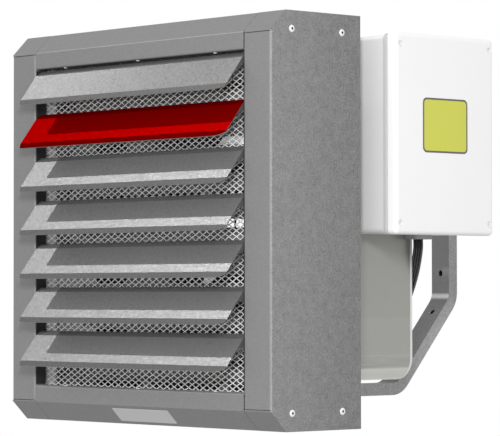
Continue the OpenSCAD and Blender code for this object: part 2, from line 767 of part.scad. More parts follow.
// Walls with the rim that the lid sits on and a post in each corner for its screws
module box_walls() difference() {
    on_box() translate([0, 0, box_wall]) {
        difference() {
            union() {
                linear_extrude(base_d - rim_h - box_wall) rounded_square(base_w, base_h, 7);
                translate([0, 0, base_d - rim_h - lip_t - box_wall]) linear_extrude(lip_t)
                    rounded_square(box_w - 1, box_h - 1, 8);
                linear_extrude(base_d - box_wall) rounded_square(base_w - 2, base_h - 2, 6);
            }
            translate([0, 0, -1]) linear_extrude(base_d) rounded_square(base_w - 2 * box_wall,
                base_h - 2 * box_wall, 4);
        }
        lid_screw_places() cylinder(h = base_d - box_wall, r = 4.5, $fn = 32);
    }
    on_box() lid_screw_places() translate([0, 0, 20]) cylinder(h = base_d, r = lid_screw_d / 2 + 0.05, $fn = 32);
    entry_place() translate([0, 0, -5]) linear_extrude(10) rounded_square(20, 8, 3);
    gland_place() tube_along_y(-10, 20, gland_thread + 0.1);
}

inner_h = base_h - 2 * box_wall;
module control_box_sides() color("white") in_casing() intersection() {
    box_walls();
    on_box() linear_extrude(base_d) square([box_w + 10, inner_h], center = true);
}

module control_box_ends() color("white") in_casing() difference() {
    box_walls();
    on_box() translate([0, 0, -1]) linear_extrude(base_d + 2) square([box_w + 10, inner_h], center = true);
}

// Screws through the box's back into the housing wall, and through the rail into the box
module box_fixings() color("silver") in_casing() {
    box_fixing_places() rotate([0, 90, 0]) {
        translate([0, 0, box_wall]) cylinder(h = 2.6, r = 4, $fn = 32);
        translate([0, 0, -duct_t - 5]) cylinder(h = duct_t + box_wall + 6, r = 2, $fn = 32);
        translate([0, 0, -duct_t - 3.2]) cylinder(h = 3.2, d = 7 / cos(30), $fn = 6);
    }
    on_box() for (s = [-1, 1]) translate([s * rail_l * 0.4, rail_z, 0]) {
        translate([0, 0, box_wall + 1]) cylinder(h = 2.4, r = 3.8, $fn = 32);
        translate([0, 0, 0.5]) cylinder(h = box_wall + 1, r = 2, $fn = 32);
    }
}

module lid_gasket() color("black") in_casing() on_box() translate([0, 0, base_d]) linear_extrude(gasket_t) difference() {
    rounded_square(base_w - 2, base_h - 2, 6);
    rounded_square(base_w - 6.6, base_h - 6.6, 4);
    lid_screw_places() circle(r = 3, $fn = 32);
}

// Lid with soft outer edges; each corner is a turned shape and the lid is stretched between them
module control_box_lid() color("white") in_casing() on_box() difference() {
    translate([0, 0, base_d + gasket_t]) hull() for (y = [-1, 1], z = [-1, 1])
        translate([y * (box_w / 2 - lid_r), z * (box_h / 2 - lid_r), 0]) rotate_extrude($fn = 32)
            polygon(concat([[0, 0], [lid_r, 0]], [for (a = [0:15:90])
                [lid_r - lid_edge_r * (1 - cos(a)), lid_t - lid_edge_r * (1 - sin(a))]], [[0, lid_t]]));
    difference() {
        translate([0, 0, base_d + gasket_t - 1]) linear_extrude(lid_t - box_wall + 1)
            rounded_square(base_w - 8, base_h - 8, 4);
        lid_screw_places() cylinder(h = box_full, r = 7, $fn = 32);
    }
    lid_screw_places() {
        cylinder(h = box_full + 1, r = lid_screw_d / 2 + 0.2, $fn = 32);
        translate([0, 0, box_full - 4]) cylinder(h = 5, r = 3.9, $fn = 32);
    }
}

module lid_screws() color("silver") in_casing() on_box() lid_screw_places() {
    translate([0, 0, 40]) cylinder(h = box_full - 44, d = lid_screw_d, $fn = 32);
    translate([0, 0, box_full - 4]) difference() {
        cylinder(h = 2.6, r = 3.5, $fn = 32);
        for (a = [0, 90]) rotate(a) translate([-2.2, -0.5, 1.2]) cube([4.4, 1, 2]);
    }
}

entry_l = 32;
entry_w = 22;
entry_t = 6;
base_low = box_z - base_h / 2;
module entry_place() {
    translate([duct_half + entry_w / 2, duct_end + lead_back - 2, base_low]) children();
}

module cable_entry_plate() color("dimgray") in_casing() entry_place() translate([0, 0, -entry_t])
    linear_extrude(entry_t) rounded_square(entry_w, entry_l, 2);

rail_l = 150;
rail_w = 35;
module din_rail() color("silver") in_casing() on_box() difference() {
    translate([0, rail_z, box_wall]) rotate([90, 0, 90]) linear_extrude(rail_l, center = true)
        sheet_shape([[-rail_w / 2, 6.5], [-12.5, 6.5], [-12.5, 0], [12.5, 0], [12.5, 6.5], [rail_w / 2, 6.5]], 1);
    for (s = [-1, 1]) translate([s * rail_l * 0.4, rail_z, -5]) cylinder(h = 20, r = 2.2, $fn = 32);
}

rail_top = box_wall + 7.5;
contactor_w = 45;
contactor_h = 76;
contactor_d = 38;
window_h = 48;
window_d = 20;
clamp_w = 8;
clamp_h = 44;
clamp_d = 30;
clamp_top_h = 24;
clamp_top_d = 8;

// Contactor on the rail: stepped body, armature window and screw wells along both ends
module contactor() color([0.85, 0.85, 0.82]) in_casing() on_box() translate([-30, rail_z, rail_top]) difference() {
    union() {
        translate([-contactor_w / 2, -contactor_h / 2, 0.2]) cube([contactor_w, contactor_h, contactor_d]);
        translate([-contactor_w / 2, -window_h / 2, contactor_d]) cube([contactor_w, window_h, window_d]);
    }
    translate([-contactor_w * 0.3, -window_h / 6, contactor_d + window_d - 4])
        cube([contactor_w * 0.6, window_h / 3, 5]);
    for (s = [-1, 1], k = [-1:1])
        translate([k * contactor_w * 0.31, s * (contactor_h + window_h) / 4, contactor_d - 14])
            cylinder(h = 20, r = 4, $fn = 32);
}

module terminal_block() color([0.75, 0.76, 0.72]) in_casing() on_box() for (k = [0:5])
    translate([12 + k * (clamp_w + 0.2), rail_z, rail_top + 0.2]) difference() {
        union() {
            translate([0, -clamp_h / 2, 0]) cube([clamp_w, clamp_h, clamp_d]);
            translate([0, -clamp_top_h / 2, clamp_d]) cube([clamp_w, clamp_top_h, clamp_top_d]);
        }
        for (s = [-1, 1]) translate([clamp_w / 2, s * (clamp_h + clamp_top_h) / 4, clamp_d - 12])
            cylinder(h = 14, r = 2.6, $fn = 24);
    }

// Leads from the entry plate round to the grommet in the inlet plate
lead_top = base_low - entry_t;
function lead_dir(i) = unit(lead_route[min(i + 1, len(lead_route) - 1)] - lead_route[max(i - 1, 0)]);
function lead_side(i) = let (d = lead_dir(min(i, len(lead_route) - 3))) unit([-d.z, 0, d.x]);
function knot(i, k) = lead_route[i] + (k - (lead_count - 1) / 2) * lead_step * lead_side(i);

// Smooth curve through the knots of lead k
function curve_at(k, u) =
    let (
        last = len(lead_route) - 1,
        i = min(floor(u), last - 1),
        t = u - i,
        a = knot(max(i - 1, 0), k),
        b = knot(i, k),
        c = knot(i + 1, k),
        d = knot(min(i + 2, last), k))
    0.5 * (2 * b + (c - a) * t + (2 * a - 5 * b + 4 * c - d) * t * t + (3 * b - a - 3 * c + d) * t * t * t);

module lead(k) {
    rings = 18;
    last = len(lead_route) - 1;
    loft([for (j = [0:rings])
        let (
            u = last * j / rings,
            p = curve_at(k, u),
            t = j == 0 ? [0, 0, -1] : j == rings ? [0, -1, 0] : unit(curve_at(k, u + 0.02) - curve_at(k, u - 0.02)),
            x = unit(cross(t, cross(lead_side(round(u)), t))),
            y = cross(t, x))
        [for (s = [0:lead_sides - 1])
            p + lead_d / 2 * (cos(s * 360 / lead_sides) * x - sin(s * 360 / lead_sides) * y)]]);
}

module lead_frame() {
    translate([lead_in, duct_end + lead_back, lead_top]) children();
}

module power_leads() color([0.08, 0.08, 0.08]) in_casing() lead_frame() for (k = [0:lead_count - 1]) lead(k);

grommet_t = duct_end + lead_back + lead_route[len(lead_route) - 1].y - inlet_y;
module lead_grommet() color("black") in_casing()
    translate([lead_in + lead_route[9].x, inlet_y + grommet_t, lead_top + lead_route[9].z])
        rotate([90, 0, 0]) rotate([0, 0, 35]) linear_extrude(grommet_t)
        rounded_square(lead_count * lead_step + 8, 12, 5);

gland_thread = 10;
module gland_place() {
    translate([duct_half + base_d / 2, box_y + base_w / 2, box_z - 70]) children();
}

// Cable gland for the supply cable in the rear wall of the box
module power_gland() color("gray") in_casing() gland_place() difference() {
    union() {
        rotate([-90, 0, 0]) cylinder(h = 6, r = 16, $fn = 6);
        tube_along_y(-box_wall - 8, box_wall + 12, gland_thread);
        translate([0, -box_wall, 0]) rotate([90, 0, 0]) cylinder(h = 5, r = 15, $fn = 6);
        translate([0, 6, 0]) rotate([-90, 0, 0]) cylinder(h = 14, r1 = 13.5, r2 = 10, $fn = 48);
    }
    tube_along_y(-20, 60, 5.5);
}

// Bracket, drawn in Y and Z with the wall at y = 0
bar_path = [[-pivot_reach - arm_end, -arm_in - bar_h], [-slant_d, -arm_in - bar_h], [0, -upright_h / 2],
    [0, upright_h / 2], [-slant_d, arm_in + bar_h], [-pivot_reach - arm_end, arm_in + bar_h]];

// The bar's side view; inset shrinks it to the hollow inside
module bar_shape(inset) {
    last = len(bar_path) - 1;
    line = bent_path([for (i = [0:last]) bar_path[i] + (i == 0 || i == last ? [inset, 0] : [0, 0])], bar_r, 8);
    sheet_shape([for (i = [0:len(line) - 1]) line[i] + inset * edge_normal(line, i)], bar_h - 2 * inset);
}

module wall_bracket() color("gray") difference() {
    along_x(bar_w) bar_shape(0);
    along_x(bar_w - 2 * bar_wall) bar_shape(bar_wall);
    for (s = [-1, 1]) translate([0, 0, s * bolt_gap / 2]) tube_along_y(-50, 60, bolt_hole / 2);
    top_and_bottom() translate([0, 0, upright_h / 2]) rotate([90 - atan2(arm_in + bar_h - upright_h / 2, slant_d), 0, 0])
        translate([0, 0, slant_hole_down]) tube_along_y(-50, 60, bolt_hole / 2);
    translate([0, -pivot_reach, 0]) cylinder(h = 2 * arm_in + 60, r = swivel_d / 2 + swivel_fit, center = true, $fn = 64);
}

nut_in = duct_half - duct_t;
bolt_out = arm_in + bar_h + face_fit + washer_t;

module at_swivel() {
    top_and_bottom() translate([0, -pivot_reach, 0]) children();
}

module pivot_bolts() color("silver") at_swivel() {
    translate([0, 0, nut_in - 18]) cylinder(h = bolt_out - nut_in + 18, d = swivel_d, $fn = 64);
    translate([0, 0, bolt_out]) cylinder(h = 7.5, d = 1.6 * swivel_d / cos(30), $fn = 6);
    translate([0, 0, bolt_out - washer_t]) cylinder(h = washer_t, d = 2.2 * swivel_d, $fn = 64);
}

module pivot_spacers() color("dimgray") at_swivel() translate([0, 0, duct_half]) difference() {
    cylinder(h = arm_gap - face_fit, d = 2.3 * swivel_d, $fn = 64);
    translate([0, 0, -1]) cylinder(h = arm_gap + 2, r = swivel_d / 2 + swivel_fit, $fn = 64);
}

module pivot_nuts() color("silver") at_swivel() difference() {
    union() {
        translate([-35, -22, nut_in - 4]) cube([70, 44, 4]);
        translate([0, 0, nut_in - 14]) cylinder(h = 10.5, d = 1.6 * swivel_d / cos(30), $fn = 6);
    }
    translate([0, 0, nut_in - 30]) cylinder(h = 40, r = swivel_d / 2 + swivel_fit, $fn = 64);
}

wall_bracket();
pivot_bolts();
pivot_spacers();
pivot_nuts();
side_panel_left();
side_panel_right();
top_panel();
bottom_panel();
rear_frame();
panel_rivets();
mesh_front_wires();
mesh_rear_wires();
mesh_clips();
clip_rivets();
bearing_strips();
louvre_1();
louvre_2();
louvre_3();
louvre_4();
louvre_5();
louvre_6();
louvre_7();
element_plate_left();
element_plate_right();
heating_elements();
element_nuts();
star_bar();
overheat_thermostat();
fan_housing();
housing_screws();
inlet_plate();
fan_guard();
guard_screws();
fan_motor();
motor_screws();
rotor_can();
impeller();
shaft_circlip();
control_box_back();
control_box_sides();
control_box_ends();
box_fixings();
lid_gasket();
control_box_lid();
lid_screws();
cable_entry_plate();
din_rail();
contactor();
terminal_block();
power_leads();
lead_grommet();
power_gland();
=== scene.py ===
import bpy
import math
from mathutils import Vector, Matrix


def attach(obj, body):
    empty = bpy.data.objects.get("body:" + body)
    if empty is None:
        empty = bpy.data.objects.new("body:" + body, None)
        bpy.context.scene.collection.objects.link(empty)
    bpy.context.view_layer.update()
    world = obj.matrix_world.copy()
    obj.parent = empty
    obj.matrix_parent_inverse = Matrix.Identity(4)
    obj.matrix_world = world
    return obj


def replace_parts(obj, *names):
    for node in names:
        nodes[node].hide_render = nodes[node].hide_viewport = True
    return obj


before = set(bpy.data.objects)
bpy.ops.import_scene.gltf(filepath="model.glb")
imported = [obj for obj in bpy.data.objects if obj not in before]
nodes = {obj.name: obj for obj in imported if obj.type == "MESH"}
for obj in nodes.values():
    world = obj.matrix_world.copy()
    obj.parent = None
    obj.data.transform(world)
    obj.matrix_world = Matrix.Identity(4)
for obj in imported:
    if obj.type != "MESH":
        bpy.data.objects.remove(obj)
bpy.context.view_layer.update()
scene = bpy.context.scene
print("frame loaded,", len(nodes), "nodes")

wallBack = 598  # millimetres from the heater's front face to the wall


def real(x, back, z):
    # millimetres from the front face, turned into the shared frame in metres
    return Vector((x / 1000, (back - wallBack) / 1000, z / 1000))


# camera, at the photo's angle

cameraSetup = {"place": (2.8776, -2.9649, -0.0927), "aim": (0.1218, -0.5012, 0.0074), "lens": 201.2,
               "sensor": 36, "roll": -0.058, "far": 50}


def makeCamera(c):
    data = bpy.data.cameras.new("photoCamera")
    data.lens = c["lens"]
    data.sensor_width = c["sensor"]
    data.clip_end = c["far"]
    cam = bpy.data.objects.new("photoCamera", data)
    scene.collection.objects.link(cam)
    look = Vector(c["aim"]) - Vector(c["place"])
    turn = look.to_track_quat("-Z", "Y").to_matrix().to_4x4()
    roll = Matrix.Rotation(math.radians(c["roll"]), 4, "Z")
    cam.matrix_world = Matrix.Translation(c["place"]) @ turn @ roll
    scene.camera = cam


makeCamera(cameraSetup)
print("camera set")


# a socket that can be used in sums

class Wire:
    def __init__(self, mixer, socket):
        self.mixer = mixer
        self.socket = socket

    def __add__(self, other):
        return self.mixer.sum("ADD", self, other)

    def __sub__(self, other):
        return self.mixer.sum("SUBTRACT", self, other)

    def __rsub__(self, other):
        return self.mixer.sum("SUBTRACT", other, self)

    def __mul__(self, other):
        return self.mixer.sum("MULTIPLY", self, other)

    __radd__ = __add__
    __rmul__ = __mul__


class Mixer:
    def __init__(self, tree):
        self.tree = tree

    def add(self, kind, settings=None, values=None, out=0):
        node = self.tree.nodes.new(kind)
        for name, value in (settings or {}).items():
            if name == "stops":
                ramp = node.color_ramp.elements
                while len(ramp) < len(value):
                    ramp.new(0.5)
                for stop, (place, tone) in zip(ramp, value):
                    stop.position = place
                    stop.color = (*tone, 1)
            else:
                setattr(node, name, value)
        for name, value in (values or {}).items():
            self.plug(node.inputs[name], value)
        return Wire(self, node.outputs[out])

    def plug(self, socket, value):
        if isinstance(value, Wire):
            self.tree.links.new(value.socket, socket)
        else:
            socket.default_value = value

    def sum(self, operation, a, b):
        return self.add("ShaderNodeMath", {"operation": operation}, {0: a, 1: b})

    def blend(self, share, a, b):
        return self.add("ShaderNodeMix", {"data_type": "RGBA"}, {0: share, 6: a, 7: b}, 2)

    def tint(self, colour, amount):
        # a colour made lighter or darker by a number
        return self.add("ShaderNodeVectorMath", {"operation": "SCALE"}, {0: colour[:3], 3: amount})

    def noise(self, where, scale, detail=2.0, rough=0.5):
        values = {"Vector": where, "Scale": scale, "Detail": detail, "Roughness": rough}
        return self.add("ShaderNodeTexNoise", {}, values)

    def parts(self, vector):
        # the three numbers of a vector
        return [self.add("ShaderNodeSeparateXYZ", {}, {0: vector}, k) for k in range(3)]

    def band(self, value, low, high, first=0.0, last=1.0):
        # goes smoothly from first to last while value goes from low to high
        values = {"Value": value, "From Min": low, "From Max": high, "To Min": first, "To Max": last}
        return self.add("ShaderNodeMapRange", {"interpolation_type": "SMOOTHSTEP"}, values)


class Finish(Mixer):
    def __init__(self, name):
        self.material = bpy.data.materials.new(name)
        self.material.use_nodes = True
        super().__init__(self.material.node_tree)
        self.tree.nodes.clear()
        self.shader = self.tree.nodes.new("ShaderNodeBsdfPrincipled")
        self.output = self.tree.nodes.new("ShaderNodeOutputMaterial")
        self.tree.links.new(self.shader.outputs[0], self.output.inputs["Surface"])
        self.place = self.add("ShaderNodeTexCoord", {}, {}, "Object")
        self.facing = self.parts(self.add("ShaderNodeTexCoord", {}, {}, "Normal"))

    def set(self, **values):
        for name, value in values.items():
            self.plug(self.shader.inputs[name.replace("_", " ")], value)
        return self.material

    def bump(self, height, depth, strength):
        return self.add("ShaderNodeBump", {}, {"Height": height, "Distance": depth, "Strength": strength})

    def stretched(self, x, y, z):
        # the place, drawn out by different amounts along X, Y and Z
        return self.add("ShaderNodeVectorMath", {"operation": "MULTIPLY"}, {0: self.place, 1: (x, y, z)})


# finishes: each noise is its scale, detail and roughness, and each band is where it starts and ends
# and, where it doesn't go from 0 to 1, its values at the start and at the end

powderGrey = {
    "tone": (0.236, 0.236, 0.236, 1), "base": 0.97, "roughness": 0.5, "gloss": 0.42,
    "depth": 0.00008, "relief": 0.5, "peelRelief": 1.4,
    "speck": (400, 2.0, 0.55), "speckAll": 0.4, "speckSides": 0.75,
    "patch": (120, 3.0, 0.6), "patchAll": 0.1, "patchSides": 0.5,
    "cloud": (6, 3.0, 0.55), "cloudShow": 0.06,
    "rub": (34, 5.0, 0.65), "rubbed": (0.62, 0.8), "rubDark": 0.025, "rubGloss": 0.06,
    "peel": (180, 1.0),
    # painted highlight lines along the folds, weaker on the sides and none underneath
    "edge": 0.6, "fold": (0.03, 0.12), "upward": (-0.2, 0.0), "sideFold": 0.9,
    # painted highlight along the start of a bend that faces a little upward, painted shade past it
    "bend": 0.0, "curlStart": (0.06, 0.18), "curlEnd": (0.3, 0.45, 1.0, 0.0),
    "past": (0.44, 0.5), "pastDark": 0.25,
    # painted shade on faces that slant back from the front, more on the lower one than on the upper one
    "slanted": (-0.65, -0.3, 1.0, 0.0), "lowSlant": (-0.6, -0.4, 0.22, 0.0),
    "highSlant": (0.4, 0.6, 0.0, 0.1),
    # faces to the right: painted light on them as a whole, and a painted gradient from light at the front to
    # shade at the back
    "rightward": (0.8, 0.95), "right": 0.0, "alongRight": (-0.6, -0.44, 0.06, -0.13), "rightSideShade": 1.0,
    # painted shade on the inside of the top panel
    "inner": 0.7, "innerPlace": (0.21, 0.215), "downward": (-0.95, -0.85, 1.0, 0.0),
}
plainPaint = {**powderGrey, "edge": 0.0, "inner": 0.0, "rightSideShade": 0.0}
# the bracket's paint: painted highlight on its bends and painted light on its faces to the right
bracketPaint = {**plainPaint, "tone": (0.39, 0.392, 0.39, 1), "bend": 1.7, "right": 0.11}
motorPaint = {**plainPaint, "tone": (0.035, 0.035, 0.038, 1)}
clipPaint = {**plainPaint, "tone": (0.1, 0.1, 0.1, 1)}
guardPaint = {**plainPaint, "tone": (0.045, 0.045, 0.047, 1)}


def powderCoat(name, c):
    # baked powder: speckle that shows most on the sides, an orange peel, painted highlights along the folds
    # and bends, and painted shade on slanted faces, on the inside of the top panel and towards the back of
    # the right faces
    f = Finish(name)
    x, y, z = f.facing
    sides = x * x
    speck = f.noise(f.place, *c["speck"])
    patch = f.noise(f.place, *c["patch"])
    peel = f.noise(f.place, *c["peel"])
    cloud = f.noise(f.place, *c["cloud"])
    rub = f.band(f.noise(f.place, *c["rub"]), *c["rubbed"])
    # flat is 1 on the flat faces and on the slanted ones, and less on the folds between them
    slant = f.sum("ABSOLUTE", z, 0.0) - y
    flat = f.sum("MAXIMUM", f.sum("MAXIMUM", sides, y * y), f.sum("MAXIMUM", z * z, slant * slant * 0.5))
    # painted highlight on the folds
    fold = f.band(1.0 - flat, *c["fold"]) * f.band(z, *c["upward"]) * (1.0 - sides * c["sideFold"])
    # painted highlight on the start of a bend, painted shade past it
    bendHighlight = f.band(z, *c["curlStart"]) * f.band(z, *c["curlEnd"]) - f.band(z, *c["past"]) * c["pastDark"]
    # painted shade on the slanted faces
    slantShade = f.band(y, *c["slanted"]) * (f.band(z, *c["lowSlant"]) + f.band(z, *c["highSlant"]))
    # painted light on faces to the right, and painted shade towards their back
    right = f.band(x, *c["rightward"])
    fade = f.band(f.parts(f.place)[1], *c["alongRight"]) * right * c["rightSideShade"]
    # painted shade on the inside of the top panel
    innerShade = f.band(f.parts(f.place)[2], *c["innerPlace"]) * f.band(z, *c["downward"])
    shade = c["base"] - innerShade * c["inner"] + fade
    shade = shade + (speck - 0.5) * (sides * c["speckSides"] + c["speckAll"])
    shade = shade + (patch - 0.5) * (sides * c["patchSides"] + c["patchAll"])
    shade = shade + cloud * c["cloudShow"] - rub * c["rubDark"] + fold * c["edge"] + bendHighlight * c["bend"]
    shade = shade + right * c["right"] - slantShade
    return f.set(Base_Color=f.tint(c["tone"], shade), Specular_IOR_Level=c["gloss"],
                 Roughness=c["roughness"] - rub * c["rubGloss"] + cloud * c["cloudShow"],
                 Normal=f.bump(speck + peel * c["peelRelief"], c["depth"], c["relief"]))


bladeSteel = {
    "tone": (0.2, 0.2, 0.2, 1), "metal": 0.12, "gloss": 0.5, "edge": (1, 1, 1, 1), "roughness": 0.34,
    "outer": (0.25, 0.4),
    "leather": (310, 240, 240), "leatherNoise": (1.0, 2.0, 0.6), "grain": 1.5,
    "slow": (24, 3.0, 0.6), "slowShow": 0.05,
    "scratch": (40, 190, 190), "scratchNoise": (1.0, 4.0, 0.7), "scuffed": (0.66, 0.8), "scuffShow": 0.02,
    # duller towards the right end
    "fade": 0.0, "along": (-0.25, 0.22),
    # painted shade: darker on the folded edges than on the face
    "faceStart": (0.46, 0.58, 0.68, 1.0), "faceEnd": (0.65, 0.74, 1.0, 0.68),
    # matt inner face, with painted shade on the ears
    "back": (0.3, 0.3, 0.3, 1), "backRoughness": 0.6, "backBase": 0.95, "backGrain": 0.1,
    "ears": (0.3, 0.6, 1.0, 0.3),
}
topBlade = {**bladeSteel, "fade": 0.14}
redLacquer = {**bladeSteel, "tone": (0.25, 0.0, 0.0, 1), "metal": 0.3, "gloss": 0.0, "edge": (1, 0, 0, 1),
              "grain": 0.4}


def bladeSheet(name, c):
    # bright outer face with a fine leathery grain and painted shade on its folded edges, matt inner face with
    # painted shade on the ears
    f = Finish(name)
    x, y, z = f.facing
    outer = f.band(z - y, *c["outer"])
    grain = f.noise(f.stretched(*c["leather"]), *c["leatherNoise"])
    slow = f.noise(f.place, *c["slow"])
    scuff = f.band(f.noise(f.stretched(*c["scratch"]), *c["scratchNoise"]), *c["scuffed"])
    dull = f.band(f.parts(f.place)[0], *c["along"], 0.0, c["fade"])
    # painted shade on the folded edges
    face = f.band(z, *c["faceStart"]) * f.band(z, *c["faceEnd"])
    uneven = (grain - 0.5) * c["grain"]
    steel = f.tint(c["tone"], face * (1.0 + uneven + (slow - 0.5) * c["slowShow"]))
    # painted shade on the ears, the faces that turn sideways
    back = f.tint(c["back"], (c["backBase"] + grain * c["backGrain"]) * f.band(x, *c["ears"]))
    smooth = f.band(outer, 0.0, 1.0, c["backRoughness"], c["roughness"])
    return f.set(Base_Color=f.blend(outer, back, steel), Metallic=outer * (c["metal"] + uneven),
                 Roughness=smooth + scuff * c["scuffShow"] + dull, Specular_IOR_Level=c["gloss"],
                 Specular_Tint=c["edge"])


rolledSheet = {"metal": 0.0, "base": 0.94, "lines": (14, 900, 900), "lineNoise": (1.0, 2.0, 0.6),
               "lineShow": 0.06, "lineGloss": 0.07, "mottle": (55, 3.0, 0.6), "mottleShow": 0.05,
               "depth": 0.00002, "relief": 0.3}
brassSheet = {**rolledSheet, "tone": (0.72, 0.56, 0.3, 1), "roughness": 0.24, "metal": 1.0}
plateSheet = {**rolledSheet, "tone": (0.5, 0.5, 0.5, 1), "roughness": 0.4}
# light tone of the hem: a painted highlight along the housing's back edge
rimSheet = {**rolledSheet, "tone": (0.8, 0.8, 0.78, 1), "roughness": 0.3}


def rolledSteel(name, c):
    # rolled sheet or bar: fine lines along X and faint mottling
    f = Finish(name)
    lines = f.noise(f.stretched(*c["lines"]), *c["lineNoise"])
    mottle = f.noise(f.place, *c["mottle"])
    spots = mottle * c["mottleShow"]
    shade = c["base"] + lines * c["lineShow"] + spots
    return f.set(Base_Color=f.tint(c["tone"], shade), Metallic=c["metal"],
                 Roughness=c["roughness"] + lines * c["lineGloss"] + spots,
                 Normal=f.bump(lines, c["depth"], c["relief"]))


fanHousing = {
    "tone": (0.37, 0.37, 0.345, 1), "base": 0.96, "roughness": 0.3, "metal": 0.3,
    "lines": (14, 14, 420), "lineNoise": (1.0, 2.0, 0.6), "lineShow": 0.4,
    "mottle": (55, 3.0, 0.6), "mottleShow": 0.05,
    # heights of the rolled lower edge with its painted reflection, of the painted highlight line above it and
    # of the upper part darkened by a painted shadow, in metres
    "rolled": -0.1925, "rolledSoft": 0.002, "rolledLight": 0.66,
    "seam": -0.1755, "seamHalf": 0.0012, "seamLight": 0.12,
    "step": -0.125, "stepSoft": 0.003, "stepDark": 0.05,
}


def satinSteel(name, c):
    # the fan housing's sheet: a painted reflection where it rolls under, a painted highlight line above it, a
    # painted shadow on the upper part, and faint lines along the bend
    f = Finish(name)
    z = f.parts(f.place)[2]
    lines = f.noise(f.stretched(*c["lines"]), *c["lineNoise"])
    mottle = f.noise(f.place, *c["mottle"])
    # painted reflection below the roll, a painted highlight line at the seam and a painted shadow above the
    # step
    low = f.band(z, c["rolled"] - c["rolledSoft"], c["rolled"] + c["rolledSoft"], 1.0, 0.0)
    rise = f.band(z, c["seam"] - c["seamHalf"], c["seam"])
    fall = f.band(z, c["seam"], c["seam"] + c["seamHalf"], 1.0, 0.0)
    above = f.band(z, c["step"] - c["stepSoft"], c["step"] + c["stepSoft"])
    bend = f.band(z, c["seam"] - c["rolledSoft"], c["seam"], 1.0, 0.0)
    shade = c["base"] + mottle * c["mottleShow"] + low * c["rolledLight"] + rise * fall * c["seamLight"]
    shade = shade - above * c["stepDark"] + bend * (lines - 0.5) * c["lineShow"]
    return f.set(Base_Color=f.tint(c["tone"], shade), Metallic=c["metal"],
                 Roughness=c["roughness"] + mottle * c["mottleShow"])


zincPlate = {"tone": (0.5, 0.505, 0.51, 1), "base": 0.86, "roughness": 0.3, "spangle": 70, "flakeShow": 0.16,
             "flakeGloss": 0.1, "dust": (300, 3.0, 0.6), "dustShow": 0.08, "depth": 0.00003, "relief": 0.3}


def zinc(name, c):
    # galvanised: flat crystals of slightly different greys
    f = Finish(name)
    cell = f.add("ShaderNodeTexVoronoi", {}, {"Vector": f.place, "Scale": c["spangle"]}, "Color")
    flake = f.add("ShaderNodeSeparateColor", {}, {0: cell}, 0)
    dust = f.noise(f.place, *c["dust"])
    grime = dust * c["dustShow"]
    return f.set(Base_Color=f.tint(c["tone"], c["base"] + flake * c["flakeShow"] + grime), Metallic=1.0,
                 Roughness=c["roughness"] + flake * c["flakeGloss"] + grime,
                 Normal=f.bump(dust, c["depth"], c["relief"]))


plainPlastic = {"grain": 600, "grainGloss": 0.04, "depth": 0.00004, "relief": 0.35, "mark": 0.06,
                "slow": (9, 2.0, 0.5), "slowGloss": 0.06, "groove": None}
rubber = {**plainPlastic, "tone": (0.022, 0.022, 0.023, 1), "roughness": 0.62}
blackPlastic = {**plainPlastic, "tone": (0.03, 0.03, 0.032, 1), "roughness": 0.45}
greyPlastic = {**plainPlastic, "tone": (0.4, 0.4, 0.4, 1), "roughness": 0.5}
creamPlastic = {**plainPlastic, "tone": (0.66, 0.65, 0.6, 1), "roughness": 0.42}
lidPlastic = {**plainPlastic, "tone": (0.99, 0.99, 0.99, 1), "roughness": 0.36, "grain": 420,
              "depth": 0.00002, "mark": 0.02}
# painted shade down in the base's groove, between these places along X, in metres
basePlastic = {**lidPlastic, "tone": (0.93, 0.93, 0.93, 1),
               "groove": {"left": 0.2824, "right": 0.2915, "soft": 0.0008, "dark": 0.26}}
palePlastic = {**lidPlastic, "tone": (0.9, 0.9, 0.9, 1), "roughness": 0.4, "mark": 0.03}
rivetWhite = {**lidPlastic, "tone": (0.9, 0.9, 0.9, 1), "roughness": 0.3, "grain": 300, "mark": 0.04}
darkFilm = {**palePlastic, "tone": (0.13, 0.12, 0.115, 1), "grain": 500, "depth": 0.00001}
yellowFilm = {**darkFilm, "tone": (0.66, 0.68, 0.095, 1)}


def moulded(name, c):
    # moulded plastic or rubber: a fine matt texture and slight uneven gloss, with painted shade down in a
    # groove
    f = Finish(name)
    fine = f.noise(f.place, c["grain"])
    slow = f.noise(f.place, *c["slow"])
    shade = 1.0 - c["mark"] / 2 + slow * c["mark"]
    # painted shade down in the groove
    if c["groove"]:
        g = c["groove"]
        x = f.parts(f.place)[0]
        start = f.band(x, g["left"], g["left"] + g["soft"])
        end = f.band(x, g["right"] - g["soft"], g["right"], g["dark"], 0.0)
        shade = shade * (1.0 - start * end)
    return f.set(Base_Color=f.tint(c["tone"], shade), Normal=f.bump(fine, c["depth"], c["relief"]),
                 Roughness=c["roughness"] + slow * c["slowGloss"] + fine * c["grainGloss"])


drawnWire = {"tone": (1.0, 1.0, 1.0, 1), "roughness": 0.25, "gloss": 0.8, "darkAbove": 1.0, "soft": 0.003,
             "dark": 0.12}
# the guard's wires get painted shade above this height, under the top panel
meshWire = {**drawnWire, "tone": (0.97, 0.97, 0.97, 1), "darkAbove": 0.212}
leadSheath = {**drawnWire, "tone": (0.012, 0.012, 0.013, 1), "roughness": 0.2, "gloss": 1.0}


def wire(name, c):
    # drawn wire, plain and bright, with painted shade above a height
    f = Finish(name)
    shade = f.band(f.parts(f.place)[2], c["darkAbove"], c["darkAbove"] + c["soft"], 1.0, c["dark"])
    return f.set(Base_Color=f.tint(c["tone"], shade), Roughness=c["roughness"], Specular_IOR_Level=c["gloss"])


elementSteel = {"run": (11, 40, 40), "runNoise": (1.0, 3.0, 0.6), "fine": (500, 2.0), "fineShow": 0.1,
                "tones": [(0.3, (0.7, 0.7, 0.7)), (0.5, (0.74, 0.73, 0.72)), (0.68, (0.62, 0.63, 0.64))],
                "metal": 0.5, "roughness": 0.3}


